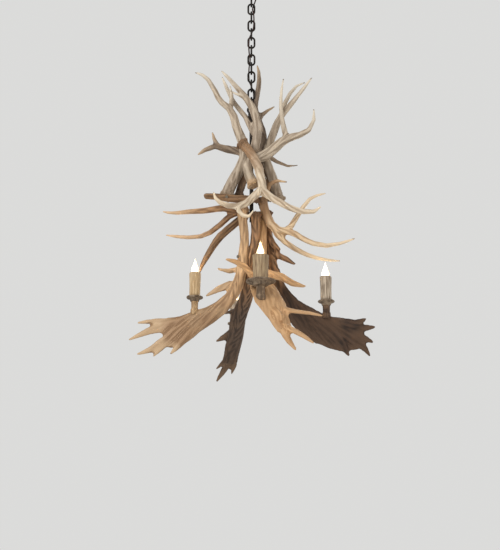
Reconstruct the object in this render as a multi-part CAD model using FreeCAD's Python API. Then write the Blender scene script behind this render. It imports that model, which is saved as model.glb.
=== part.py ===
import FreeCAD, Part
import math
import os

# An antler chandelier on a chain. Millimetres, Z up. The origin is the middle of the canopy's rim,
# on the ceiling, and everything hangs below it. X runs to the right and Y away from the viewer.

os.makedirs("parts", exist_ok=True)
Vector = FreeCAD.Vector

# --- driving dimensions ---------------------------------------------------------------------

running_gap = 0.3              # air between pieces that swing or turn on each other

canopy_diameter = 130.0
canopy_depth = 34.0
canopy_wall = 2.0
canopy_floor_diameter = 92.0   # flat part round the loop's neck
canopy_hole_spacing = 70.0
canopy_hole_diameter = 5.0
cord_hole_offset = 20.0

loop_ring_radius = 12.0        # to the middle of its wire
loop_wire = 7.0
loop_neck_length = 9.0
loop_neck_diameter = 12.0
nipple_diameter = 9.5
nipple_length = 16.0
nut_thickness = 5.0
nut_across = 17.0

link_length = 46.0
link_width = 28.0
link_wire = 6.5
link_count = 13

cord_diameter = 4.6
crossing_reach = 20.0          # above and below the middle of a link that the cord goes through

eye_ring_radius = 12.0
eye_wire = 7.0
eye_collar_diameter = 22.0
eye_collar_length = 14.0
rod_diameter = 13.0
rod_bore = 8.0
rod_length = 380.0
rod_nut_across = 20.0
rod_nut_thickness = 8.0

ring_spacing = 30.0            # along an antler, between two cross-sections
beam_sides = 8
palm_sides = 12
burr_swell = 0.28              # how far the burr stands proud, as a share of the beam
burr_height = 7.0
corner_reach = 1.04            # facets cut inside the round, so their corners stand this much out
tip_bluntness = 1.5            # tines keep their thickness until near the tip

screw_diameter = 5.0
screw_head_diameter = 9.0
screw_head_height = 3.0
screw_bite = 5.0               # depth of thread past the middle of the second antler
rod_screw_bite = 5.0           # how far a screw goes into the rod

sleeve_height = 79.0
sleeve_wall = 5.0
saucer_height = 17.0
saucer_plate = 6.0             # thickness of the saucer's plate
collar_height = 8.0            # above the palm's top
collar_extra = 1.5             # how far the foot's collar stands out from the stem
cope_depth = 15.0              # the foot reaches this far down a palm's slope
tenon_diameter = 9.5           # the stem's threaded tenon, let into the palm
tenon_length = 8.0
holder_diameter = 22.0
holder_height = 60.0
holder_bore = 12.8
holder_bore_depth = 24.0
bulb_base_diameter = 12.2
bulb_base_length = 22.0
bulb_neck_diameter = 11.0
bulb_diameter = 26.0
bulb_glass_length = 68.0       # from the neck to the flame tip
bulb_wall = 1.0


# --- small helpers --------------------------------------------------------------------------

def save(name, shape):
    shape.exportStep("parts/" + name + ".step")


def largest_solid(shape):
    return max(shape.Solids, key=lambda solid: solid.Volume)


def turned(profile, x=0.0, y=0.0, z=0.0):
    """Spin a closed outline of (radius, height) points about a vertical axis."""
    outline = Part.makePolygon([Vector(r, 0, h) for r, h in profile + profile[:1]])
    body = Part.Face(outline).revolve(Vector(0, 0, 0), Vector(0, 0, 1), 360)
    body.translate(Vector(x, y, z))
    return body


def cylinder(diameter, height, x=0.0, y=0.0, z=0.0):
    return Part.makeCylinder(diameter / 2, height, Vector(x, y, z))


def hexagon_nut(across, thickness, bore, x, y, z):
    corner = across / math.sqrt(3)
    corners = [Vector(x + corner * math.cos(math.radians(60 * k)),
                      y + corner * math.sin(math.radians(60 * k)), z) for k in range(7)]
    nut = Part.Face(Part.makePolygon(corners)).extrude(Vector(0, 0, thickness))
    return nut.cut(cylinder(bore, thickness, x, y, z))


# --- antlers --------------------------------------------------------------------------------

def mix(a, b, share):
    return a + (b - a) * share


def stations_along(points, burr):
    """Cross-sections (centre, direction, width, thickness) along a smooth curve through the points."""
    centres = [Vector(*point[:3]) for point in points]
    curve = Part.BSplineCurve()
    curve.interpolate(centres)
    places = [curve.parameter(centre) for centre in centres]
    places[0], places[-1] = curve.FirstParameter, curve.LastParameter
    stations = []
    for i in range(len(points) - 1):
        run = (centres[i + 1] - centres[i]).Length
        steps = max(1, round(run / ring_spacing))
        shares = [k / steps for k in range(steps)]
        if burr and i == 0:
            shares = [0, 0.4 * burr_height / run, burr_height / run, 1.6 * burr_height / run] + shares[1:]
        if i == len(points) - 2:
            shares += [0.85, 1]
        for share in shares:
            place = mix(places[i], places[i + 1], share)
            taper = share ** tip_bluntness if i == len(points) - 2 else share
            width = mix(points[i][3], points[i + 1][3], taper) * corner_reach
            thickness = mix(points[i][-1], points[i + 1][-1], taper) * corner_reach
            if burr and i == 0 and 0 < share * run < 1.3 * burr_height:
                width *= 1 + burr_swell
                thickness *= 1 + burr_swell
            stations.append((curve.value(place), curve.tangent(place)[0], width, thickness))
    return stations


def branch(points, across=None, burr=False):
    """A tapering solid with flat facets. Points are (x, y, z, width) or (x, y, z, width, thickness).

    The way across is the direction of the width at the far end, and it turns with the curve.
    """
    sides = palm_sides if across else beam_sides
    wide = Vector(*across) if across else Vector(0.31, -0.94, 0.17)
    rings = []
    for centre, direction, width, thickness in reversed(stations_along(points, burr)):
        wide = (wide - direction * wide.dot(direction)).normalize()
        deep = direction.cross(wide)
        rings.append([centre + wide * (width / 2 * math.cos(2 * math.pi * k / sides))
                      + deep * (thickness / 2 * math.sin(2 * math.pi * k / sides)) for k in range(sides)])
    rings.reverse()
    faces = [Part.Face(Part.makePolygon(ring + ring[:1])) for ring in (rings[0], rings[-1])]
    for lower, upper in zip(rings, rings[1:]):
        for k in range(sides):
            n = (k + 1) % sides
            faces.append(Part.Face(Part.makePolygon([lower[k], lower[n], upper[n], lower[k]])))
            faces.append(Part.Face(Part.makePolygon([lower[k], upper[n], upper[k], lower[k]])))
    solid = Part.Solid(Part.Shell(faces))
    if solid.Volume < 0:
        solid.reverse()
    return solid


def antler(beam, tines=(), plate=None, points=(), across=None):
    """A beam with its burr at the first point, round tines, and a flat palm with its own points."""
    pieces = [branch(tine) for tine in tines]
    if plate:
        pieces.append(branch(plate, across))
        pieces += [branch(point, across) for point in points]
    return largest_solid(branch(beam, burr=True).fuse(pieces))


# Each point is (x, y, z, diameter), or (x, y, z, width, thickness) on a palm. Heights are from the
# middle of the eye's top wire, so the antlers follow the chain. The order is the order of
# assembly: each antler is coped where it meets the rod and the antlers before it.

antler_shapes = {
    "stag_antler_left": dict(
        beam=[(-80, -22, -329, 36), (-51, -16, -257, 34), (-21, -6, -167, 34), (-35, -12, -119, 30),
              (-51, -20, -80, 27), (-75, -30, -19, 22), (-98, -36, -3, 18), (-122, -42, 38, 15),
              (-144, -50, 74, 12), (-189, -60, 96, 4)],
        tines=[[(-73, -28, -29, 18), (-67, -16, 3, 14), (-67, -6, 41, 10), (-73, 2, 79, 4)]]),
    "stag_antler_fork": dict(
        beam=[(-41, 3, -322, 24), (-23, 9, -255, 24), (-13, 19, -201, 26), (-38, 25, -152, 26),
              (-79, 25, -144, 24), (-122, 16, -136, 18), (-155, 8, -154, 12), (-179, 0, -175, 4)],
        tines=[[(-109, 18, -139, 15), (-124, 14, -115, 11), (-131, 10, -88, 4)]]),
    "stag_antler_center": dict(
        beam=[(10, -18, -181, 30), (18, -28, -128, 28), (23, -34, -93, 26), (15, -36, -58, 25),
              (0, -36, -14, 23), (-23, -34, 23, 19), (-50, -36, 55, 14), (-79, -42, 88, 10),
              (-102, -50, 109, 4)],
        tines=[[(15, -24, -118, 18), (-7, -14, -74, 16), (-20, 2, -36, 15), (-45, 8, 0, 14),
                (-68, 12, 39, 12), (-87, 14, 85, 10), (-101, 18, 121, 4)],
               [(-18, -36, 11, 11), (-41, -46, 21, 8), (-58, -52, 25, 6), (-70, -56, 32, 3)]]),
    "stag_antler_back": dict(
        beam=[(67, 34, -318, 26), (53, 34, -268, 26), (41, 28, -175, 27), (33, 36, -66, 26),
              (11, 50, 20, 22), (19, 58, 70, 18), (27, 66, 135, 13), (20, 74, 196, 4)],
        tines=[[(24, 40, -35, 16), (36, 50, -6, 13), (54, 56, 12, 9), (80, 64, 33, 4)],
               [(39, 32, -138, 18), (56, 48, -159, 14), (87, 64, -173, 10), (124, 72, -185, 7),
                (158, 78, -178, 4)]]),
    "stag_antler_hook": dict(
        beam=[(7, -56, -304, 32), (-8, -46, -265, 30), (-13, -40, -235, 31), (2, -34, -204, 32),
              (38, -26, -190, 33), (81, -24, -157, 31), (121, -30, -128, 26), (160, -40, -121, 19),
              (189, -48, -107, 14), (206, -52, -73, 10), (205, -58, -36, 4)],
        tines=[[(117, -30, -131, 20), (107, -24, -85, 15), (100, -22, -33, 12), (99, -26, 20, 9),
                (108, -34, 86, 4)]]),
    "stag_antler_right": dict(
        beam=[(90, 4, -335, 32), (78, 5, -282, 29), (62, 5, -232, 27), (48, 2, -190, 27),
              (59, 6, -136, 26), (79, 6, -78, 24), (103, 2, -29, 21), (123, -4, -6, 17),
              (150, -12, 27, 13), (177, -20, 60, 10), (204, -28, 95, 4)],
        tines=[[(106, 2, -29, 16), (114, 12, 20, 13), (132, 20, 60, 11), (155, 26, 91, 8),
                (183, 34, 107, 4)]]),
    "stag_antler_front": dict(
        beam=[(-33, -66, -160, 32), (-11, -66, -186, 28), (8, -66, -214, 27), (24, -68, -253, 27),
              (32, -70, -296, 26), (35, -72, -331, 27), (69, -78, -359, 22), (116, -88, -391, 18),
              (162, -98, -410, 15), (196, -106, -413, 11), (218, -112, -397, 4)],
        tines=[[(30, -72, -327, 24), (8, -74, -350, 22), (-18, -78, -376, 22), (-46, -84, -388, 19),
                (-74, -92, -388, 16), (-100, -100, -380, 12), (-114, -106, -368, 9),
                (-120, -112, -348, 4)],
               [(-41, -84, -385, 15), (-41, -96, -407, 13), (-27, -110, -427, 11),
                (-9, -122, -435, 9), (5, -136, -417, 4)]]),
    "stag_antler_stub": dict(
        beam=[(20, -27, -338, 24), (-48, -36, -345, 24), (-88, -39, -341, 22), (-149, -58, -343, 15)]),
    "stag_antler_wing": dict(
        beam=[(-18, 8, -367, 23), (-50, 5, -378, 23), (-70, -4, -369, 21), (-112, -20, -372, 19),
              (-157, -32, -384, 16), (-198, -42, -390, 13), (-239, -52, -398, 10),
              (-284, -62, -397, 4)],
        tines=[[(-50, 5, -378, 18), (-73, 12, -387, 17), (-103, 20, -414, 16), (-136, 30, -437, 14),
                (-166, 38, -447, 12), (-205, 46, -448, 11), (-249, 54, -442, 9),
                (-283, 62, -435, 4)]]),
    "stag_antler_spike": dict(
        beam=[(-21, 31, -376, 24), (-51, 31, -403, 24), (-75, 28, -425, 23), (-101, 26, -450, 24),
              (-127, 28, -487, 21), (-148, 30, -524, 17), (-161, 32, -550, 11), (-168, 34, -574, 4)]),
    "stag_antler_sweep": dict(
        beam=[(33, -14, -334, 28), (47, -12, -387, 27), (63, -16, -424, 27), (89, -20, -448, 25),
              (117, -24, -451, 20), (158, -32, -474, 16), (199, -42, -498, 14),
              (239, -52, -508, 12), (280, -62, -504, 9), (326, -74, -491, 4)],
        tines=[[(105, -22, -452, 22), (128, -18, -431, 17), (149, -12, -394, 14),
                (170, -8, -360, 12), (191, -6, -333, 10), (214, -6, -321, 8), (243, -4, -313, 4)],
               [(66, -17, -428, 20), (85, -14, -460, 17), (110, -8, -483, 16), (140, -2, -502, 15),
                (182, 4, -522, 12), (234, 10, -535, 9), (286, 18, -537, 4)],
               [(39, -14, -352, 16), (48, -24, -320, 14), (59, -32, -291, 12), (83, -38, -282, 9),
                (115, -44, -291, 4)]]),
    "fallow_antler_left": dict(
        across=(0, 0.08, 1),
        beam=[(-28, -20, -370, 32), (-28, -22, -418, 27), (-22, -22, -486, 27), (-29, -20, -539, 29),
              (-33, -16, -585, 30), (-49, -12, -633, 34)],
        plate=[(-37, -14, -597, 30, 20), (-67, -12, -669, 38, 25), (-97, -10, -700, 46, 26),
               (-131, -8, -723, 52, 28), (-180, -6, -747, 68, 27), (-231, -6, -775, 92, 22),
               (-257, -5, -780, 98, 17), (-277, -4, -784, 84, 12)],
        points=[[(-239, -3, -752, 30, 10), (-297, 4, -741, 18, 9), (-336, 8, -742, 11, 7),
                 (-362, 10, -745, 4, 4)],
                [(-251, -3, -766, 42, 10), (-295, 0, -764, 30, 9), (-345, 0, -783, 16, 8),
                 (-385, -2, -802, 4, 4)],
                [(-236, -8, -792, 46, 10), (-279, -10, -813, 30, 9), (-316, -12, -836, 18, 8),
                 (-356, -16, -850, 4, 4)],
                [(-261, -9, -805, 26, 9), (-285, -12, -834, 14, 7), (-305, -14, -857, 4, 4)],
                [(-184, -10, -770, 34, 10), (-216, -18, -811, 22, 9), (-252, -24, -852, 4, 4)],
                [(-37, -10, -629, 24, 12), (-69, -4, -624, 28, 9), (-107, 2, -637, 20, 7),
                 (-145, 8, -657, 5, 4)]],
        tines=[[(-26, -18, -579, 17), (-43, -6, -573, 15), (-72, 4, -576, 13), (-108, 12, -563, 5)]]),
    "fallow_antler_back": dict(
        across=(0.95, 0.05, 0.3),
        beam=[(14, -14, -388, 30), (14, -14, -450, 28), (10, -10, -492, 29), (-7, -8, -536, 30),
              (-11, 8, -574, 29), (-10, 24, -606, 30)],
        plate=[(-11, 14, -588, 30, 20), (-13, 40, -634, 38, 24), (-26, 90, -665, 47, 25),
               (-45, 150, -701, 51, 24), (-50, 205, -728, 50, 22), (-63, 285, -764, 54, 20),
               (-72, 345, -809, 46, 12)],
        points=[[(-36, 118, -674, 36, 12), (-62, 134, -676, 24, 9), (-92, 146, -682, 5, 4)],
                [(-60, 225, -728, 34, 12), (-82, 255, -732, 24, 10), (-121, 270, -750, 5, 4)],
                [(-78, 318, -785, 30, 10), (-94, 350, -804, 18, 9), (-124, 370, -827, 4, 4)],
                [(-72, 335, -795, 34, 10), (-92, 380, -822, 22, 9), (-124, 410, -865, 5, 4)],
                [(-62, 335, -795, 26, 9), (-60, 362, -816, 17, 8), (-71, 382, -843, 4, 4)]]),
    "fallow_antler_front": dict(
        across=(-0.9, -0.43, 0),
        beam=[(31, 11, -378, 28), (36, 5, -448, 27), (34, -12, -511, 28), (33, -32, -563, 29),
              (33, -54, -609, 32)],
        plate=[(33, -40, -578, 30, 20), (33, -66, -617, 54, 18), (39, -125, -670, 90, 14),
               (57, -178, -728, 102, 13), (80, -215, -785, 68, 11), (96, -240, -830, 46, 9)],
        points=[[(92, -235, -822, 30, 10), (108, -256, -862, 20, 8), (126, -272, -889, 5, 4)],
                [(95, -232, -812, 34, 10), (127, -255, -832, 24, 9), (175, -285, -872, 5, 4)],
                [(75, -178, -738, 42, 10), (134, -190, -757, 22, 8), (172, -200, -764, 14, 7),
                 (208, -208, -775, 5, 4)]],
        tines=[[(20, -66, -632, 20), (3, -78, -616, 19), (-23, -96, -588, 17), (-51, -108, -578, 13),
                (-80, -118, -573, 5)],
               [(39, -46, -593, 24), (64, -50, -604, 26), (96, -56, -613, 23), (129, -62, -635, 18),
                (168, -68, -645, 5)],
               [(66, -196, -752, 18), (74, -218, -772, 28), (79, -228, -788, 30), (80, -234, -800, 18)]]),
    "fallow_antler_right": dict(
        across=(0, -0.4, 0.9),
        beam=[(51, 29, -365, 28), (54, 29, -433, 27), (60, 25, -500, 28), (69, 20, -555, 30),
              (82, 16, -599, 33)],
        plate=[(76, 17, -568, 30, 20), (90, 16, -632, 45, 16), (127, 14, -692, 64, 14),
               (168, 10, -732, 87, 12), (221, 6, -766, 96, 11), (285, 4, -785, 108, 9),
               (338, 4, -785, 86, 7)],
        points=[[(278, -8, -759, 50, 11), (330, -18, -753, 26, 9), (358, -24, -739, 5, 4)],
                [(291, -2, -764, 50, 11), (347, -4, -765, 26, 9), (388, -8, -762, 5, 4)],
                [(291, 6, -782, 50, 10), (348, 6, -793, 26, 9), (382, 8, -808, 5, 4)],
                [(292, 10, -787, 44, 10), (342, 14, -812, 26, 9), (372, 18, -850, 5, 4)],
                [(254, 10, -787, 40, 10), (288, 16, -818, 26, 9), (306, 20, -849, 5, 4)]],
        tines=[[(61, 24, -514, 21), (82, 6, -521, 19), (111, -8, -539, 15), (139, -16, -559, 5)],
               [(54, 28, -442, 22), (68, 6, -480, 18), (90, -14, -511, 8)]]),
}


# --- ceiling fitting ------------------------------------------------------------------------

def canopy():
    rim, floor = canopy_diameter / 2, canopy_floor_diameter / 2
    bend = rim - canopy_wall - (rim - floor) * 0.28
    outside = [(rim, 0), (rim, -4), (bend, -canopy_depth * 0.62), (floor, -canopy_depth)]
    inside = [(floor - canopy_wall, canopy_wall - canopy_depth),
              (bend - canopy_wall, -canopy_depth * 0.62 + canopy_wall), (rim - canopy_wall, -4),
              (rim - canopy_wall, 0)]
    bowl = turned(outside + [(0, -canopy_depth), (0, canopy_wall - canopy_depth)] + inside)
    holes = [cylinder(nipple_diameter + 2 * running_gap, canopy_depth, 0, 0, -canopy_depth),
             cylinder(cord_diameter + 2 * running_gap, canopy_depth, cord_hole_offset, 0, -canopy_depth)]
    for side in (-1, 1):
        holes.append(cylinder(canopy_hole_diameter, canopy_depth, 0, side * canopy_hole_spacing / 2,
                              -canopy_depth))
    return bowl.cut(holes)


def wire_ring(ring_radius, wire, height):
    """A ring of round wire standing in the XZ plane, with its middle at this height."""
    return Part.makeTorus(ring_radius, wire / 2, Vector(0, 0, height), Vector(0, 1, 0))


def ceiling_loop():
    neck_bottom = -canopy_depth - loop_neck_length
    neck = cylinder(loop_neck_diameter, loop_neck_length, 0, 0, neck_bottom)
    nipple = cylinder(nipple_diameter, nipple_length, 0, 0, -canopy_depth)
    ring = wire_ring(loop_ring_radius, loop_wire, loop_middle)
    return neck.fuse([nipple, ring])


# The ring's wire sinks into its neck by a third of its thickness, as a casting's does.
loop_middle = -canopy_depth - loop_neck_length - loop_ring_radius - loop_wire / 6

# --- chain ----------------------------------------------------------------------------------

first_pivot = loop_middle - loop_ring_radius               # middle of the loop's lowest wire
link_reach = link_length - link_wire                       # between the middles of its end wires
first_top = first_pivot + (loop_wire + link_wire) / 2 + running_gap
link_pitch = link_reach - link_wire - running_gap
last_pivot = first_top - (link_count - 1) * link_pitch - link_reach
eye_top = last_pivot + (link_wire + eye_wire) / 2 + running_gap


def chain_link(top, turned_sideways):
    """An oval of round wire in the XZ plane, or in the YZ plane when it is turned sideways."""
    bend = (link_width - link_wire) / 2
    upper, lower = top - bend, top - link_reach + bend
    wire = link_wire / 2
    arc_start = Part.Wire(Part.makeCircle(wire, Vector(bend, 0, upper), Vector(0, 0, 1)))
    half = Part.Face(arc_start).revolve(Vector(0, 0, upper), Vector(0, -1, 0), 180)
    sides = [Part.makeCylinder(wire, upper - lower, Vector(side * bend, 0, lower)) for side in (-1, 1)]
    other = half.copy()
    other.rotate(Vector(0, 0, (upper + lower) / 2), Vector(0, 1, 0), 180)
    link = half.fuse(sides + [other]).removeSplitter()
    if turned_sideways:
        link.rotate(Vector(0, 0, 0), Vector(0, 0, 1), 90)
    return link


def round_route(points):
    """Straight runs joined by arcs as wide as the runs allow."""
    corners = [Vector(*point) for point in points]
    edges, start = [], corners[0]
    for before, corner, after in zip(corners, corners[1:], corners[2:]):
        into, away = (corner - before), (after - corner)
        half_turn = into.getAngle(away) / 2
        setback = 0.45 * min(into.Length, away.Length)
        into.normalize()
        away.normalize()
        first, last = corner - into * setback, corner + away * setback
        bisector = (away - into).normalize()
        radius = setback / math.tan(half_turn)
        middle = corner + bisector * (radius / math.cos(half_turn) - radius)
        edges.append(Part.LineSegment(start, first).toShape())
        edges.append(Part.Arc(first, middle, last).toShape())
        cord_radii.append(radius)
        start = last
    edges.append(Part.LineSegment(start, corners[-1]).toShape())
    return Part.Wire(edges)


cord_radii = []


def supply_cord():
    """The cord leaves the canopy, runs beside the chain and crosses it through every third link."""
    beside = link_wire / 2 + cord_diameter / 2 + 2.2       # clear of both ways that the links stand
    loose = beside + 1.5
    through = 3.0
    out, back = 1, 1
    route = [(cord_hole_offset, 0, -canopy_depth + canopy_wall + 4),
             (cord_hole_offset, 0, -canopy_depth - 10), (cord_hole_offset - 3.5, 4, first_top - 10)]
    for number in range(2, link_count, 3):
        middle = first_top - (number - 1) * link_pitch - link_reach / 2
        route.append((out * beside, back * beside, middle + crossing_reach))
        if number % 2 == 0:                                # this link faces the viewer
            route.append((out * through, 0, middle))
            back = -back
        else:
            route.append((0, back * through, middle))
            out = -out
        route.append((out * beside, back * beside, middle - crossing_reach))
        if number + 3 < link_count:
            route.append((out * loose, back * loose, middle - 1.5 * link_pitch))
    last = (out * 4, back * (eye_wire / 2 + cord_diameter / 2 + 0.7))
    route += [(out * beside, back * beside, eye_top - 4), (*last, eye_middle - 1), (*last, collar_top)]
    path = round_route(route)
    start = Part.Wire(Part.makeCircle(cord_diameter / 2, Vector(*route[0]), Vector(0, 0, 1)))
    return path.makePipeShell([start], True, False)


# --- eye and rod ----------------------------------------------------------------------------

eye_middle = eye_top - eye_ring_radius
collar_top = eye_middle - eye_ring_radius - eye_wire / 2 + 2
collar_bottom = collar_top - eye_collar_length
rod_top = collar_bottom + 9


def rod():
    bottom = rod_top - rod_length
    return cylinder(rod_diameter, rod_length, 0, 0, bottom).cut(
        cylinder(rod_bore, rod_length, 0, 0, bottom))


def eye():
    """A ring on a collar that screws down over the rod's top."""
    ring = wire_ring(eye_ring_radius, eye_wire, eye_middle)
    collar = cylinder(eye_collar_diameter, eye_collar_length, 0, 0, collar_bottom)
    socket = cylinder(rod_diameter, rod_top - collar_bottom, 0, 0, collar_bottom)
    return ring.fuse(collar).cut(socket)


# --- candles --------------------------------------------------------------------------------

# name: middle x and y, heights of the palm's top there and of the sleeve's rim from the eye's top,
# then the diameters of sleeve, saucer and stem
candles = {
    "left": (-180, -6, -711, -584, 38, 55, 23),
    "front": (27, -183, -711, -580, 50, 92, 28),
    "right": (236, -14, -724, -599, 39, 55, 24),
    "back": (-56, 292, -755, -600, 40, 56, 24),
}


def candle_stem(height, stem):
    foot = stem / 2 + collar_extra
    return turned([(0, -cope_depth), (foot, -cope_depth), (foot, collar_height - 3),
                   (stem / 2 - 1, collar_height), (stem / 2, height), (0, height)])


def tenon(x, y, seat):
    return cylinder(tenon_diameter, 2 * tenon_length, x, y, eye_top + seat - tenon_length)


def candle_saucer(saucer):
    rim, hub = saucer / 2, saucer / 2 * 0.55
    top = saucer_height
    return turned([(0, 0), (hub * 0.8, 0), (hub, top - saucer_plate - 2), (rim - 3, top - saucer_plate),
                   (rim, top - saucer_plate / 2), (rim - 2, top), (0, top)])


def candle_sleeve(sleeve):
    outer, foot = sleeve / 2, sleeve / 2 * 0.94
    inner = foot - sleeve_wall
    return turned([(inner, 0), (foot, 0), (foot - 0.6, sleeve_height * 0.45), (outer, sleeve_height - 3),
                   (outer - 1, sleeve_height), (inner, sleeve_height)])


def lampholder():
    bore = holder_bore / 2
    shoulder = holder_height - holder_bore_depth
    return turned([(0, 0), (7, 0), (7, 10), (holder_diameter / 2, 10), (holder_diameter / 2, holder_height),
                   (bore, holder_height), (bore, shoulder), (0, shoulder)])


def bulb_base():
    r = bulb_base_diameter / 2
    return turned([(0, 0), (2.5, 0), (4, 3), (r, 5), (r, bulb_base_length), (0, bulb_base_length)])


def flame(radius, length, neck):
    """The outline of a candle flame: neck, belly, and a drawn-out tip."""
    heights = [0.1, 0.22, 0.34, 0.46, 0.58, 0.72, 0.86, 0.95, 0.985]
    shares = [0.62, 0.88, 1, 0.96, 0.8, 0.5, 0.24, 0.13, 0.07]
    side = [(radius * share, length * height) for share, height in zip(shares, heights)]
    return [(0, 0), (neck, 0)] + side + [(0, length)]


def bulb_glass():
    outer = turned(flame(bulb_diameter / 2, bulb_glass_length, bulb_neck_diameter / 2))
    inner = flame(bulb_diameter / 2 - bulb_wall, bulb_glass_length - 3 * bulb_wall,
                  bulb_neck_diameter / 2 - bulb_wall)
    return outer.cut(turned(inner, z=bulb_wall))


def candle(x, y, seat, rim, sleeve, saucer, stem):
    """Every piece of one candle, by name, in its place."""
    saucer_top = rim - sleeve_height
    saucer_bottom = saucer_top - saucer_height
    base_bottom = saucer_top + holder_height - holder_bore_depth + running_gap
    pieces = {
        "stem": (candle_stem(saucer_bottom - seat, stem), seat),
        "saucer": (candle_saucer(saucer), saucer_bottom),
        "sleeve": (candle_sleeve(sleeve), saucer_top),
        "lampholder": (lampholder(), saucer_top),
        "bulb_base": (bulb_base(), base_bottom),
        "bulb_glass": (bulb_glass(), base_bottom + bulb_base_length),
    }
    for piece, height in pieces.values():
        piece.translate(Vector(x, y, eye_top + height))
    return {name: piece for name, (piece, height) in pieces.items()}


# --- assembly -------------------------------------------------------------------------------

# Each pair is held by one screw, driven from the first antler into the second.
screwed_pairs = [
    ("stag_antler_left", "stag_antler_fork"), ("stag_antler_center", "stag_antler_hook"),
    ("stag_antler_right", "stag_antler_hook"), ("stag_antler_back", "stag_antler_right"),
    ("stag_antler_front", "stag_antler_hook"), ("stag_antler_stub", "stag_antler_left"),
    ("stag_antler_stub", "stag_antler_sweep"), ("stag_antler_wing", "stag_antler_spike"),
    ("stag_antler_wing", "fallow_antler_left"), ("fallow_antler_left", "fallow_antler_back"),
    ("stag_antler_sweep", "fallow_antler_front"), ("fallow_antler_front", "fallow_antler_back"),
    ("fallow_antler_right", "fallow_antler_front"),
]
rod_screwed = ["stag_antler_left", "stag_antler_center", "fallow_antler_back"]


def nearest_middle(name, place):
    """The point on the antler's beam that lies nearest, with the beam's radius there."""
    local = place - Vector(0, 0, eye_top)
    stations = stations_along(antler_shapes[name]["beam"], False)
    centre, direction, width, thickness = min(stations, key=lambda s: (s[0] - local).Length)
    return centre + Vector(0, 0, eye_top), width / 2


def screw(start, end):
    """A lag screw with its flat head just under the first antler's surface."""
    way = (end - start).normalize()
    shank = Part.makeCylinder(screw_diameter / 2, (end - start).Length, start, way)
    head = Part.makeCylinder(screw_head_diameter / 2, screw_head_height, start, way)
    return shank.fuse(head)


def contact_place(first, second):
    """Where two uncoped pieces meet, or else half way between them."""
    on_first, on_second = first.distToShape(second)[1][0]
    return (on_first + on_second) / 2


def build_antlers(rod_solid, fittings):
    """Antlers coped to the rod, its fittings and each other, and the screws that hold them."""
    whole = {name: antler(**shape) for name, shape in antler_shapes.items()}
    for solid in whole.values():
        solid.translate(Vector(0, 0, eye_top))
    screws = []
    for first, second in screwed_pairs:
        place = contact_place(whole[first], whole[second])
        middle, radius = nearest_middle(first, place)
        other, other_radius = nearest_middle(second, place)
        way = (other - middle).normalize()
        screws.append(screw(place - way * (1.9 * radius), place + way * (other_radius + screw_bite)))
    for name in rod_screwed:
        place = contact_place(whole[name], rod_solid)
        middle, radius = nearest_middle(name, place)
        way = Vector(-middle.x, -middle.y, 0).normalize()
        screws.append(screw(place - way * (1.9 * radius), place + way * rod_screw_bite))
    placed = [rod_solid, *fittings]
    coped = {}
    for name, solid in whole.items():
        solid = largest_solid(solid.cut(touching(solid, placed)))
        placed.append(solid)
        coped[name] = largest_solid(solid.cut(touching(solid, screws)))
    return coped, screws


def touching(solid, others):
    return [other for other in others if other.BoundBox.intersect(solid.BoundBox)]


def main():
    save("canopy", canopy())
    save("canopy_nut", hexagon_nut(nut_across, nut_thickness, nipple_diameter, 0, 0,
                                   canopy_wall - canopy_depth))
    save("ceiling_loop", ceiling_loop())
    for number in range(1, link_count + 1):
        top = first_top - (number - 1) * link_pitch
        save("chain_link_%02d" % number, chain_link(top, turned_sideways=number % 2 == 1))
    save("supply_cord", supply_cord())
    hanging_eye, center_rod = eye(), rod()
    lock_nut = hexagon_nut(rod_nut_across, rod_nut_thickness, rod_diameter, 0, 0,
                           collar_bottom - rod_nut_thickness)
    save("hanging_eye", hanging_eye)
    save("rod_lock_nut", lock_nut)
    antlers, screws = build_antlers(center_rod, [hanging_eye, lock_nut])
    for side, sizes in candles.items():
        pieces = candle(*sizes)
        palm = "fallow_antler_" + side
        peg = tenon(*sizes[:3])
        pieces["stem"] = largest_solid(pieces["stem"].cut(antlers[palm])).fuse(peg)
        antlers[palm] = largest_solid(antlers[palm].cut(peg))
        for name, piece in pieces.items():
            save(name + "_" + side, piece)
    for name, solid in antlers.items():
        save(name, solid)
    save("center_rod", center_rod.cut(touching(center_rod, screws)))
    save("antler_screws", Part.makeCompound(screws))
    print("cord's arcs:", ", ".join("%.0f" % radius for radius in cord_radii))


main()
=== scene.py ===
import bmesh
import bpy
import math
import numpy as np
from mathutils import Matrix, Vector
from mathutils.bvhtree import BVHTree


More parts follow.
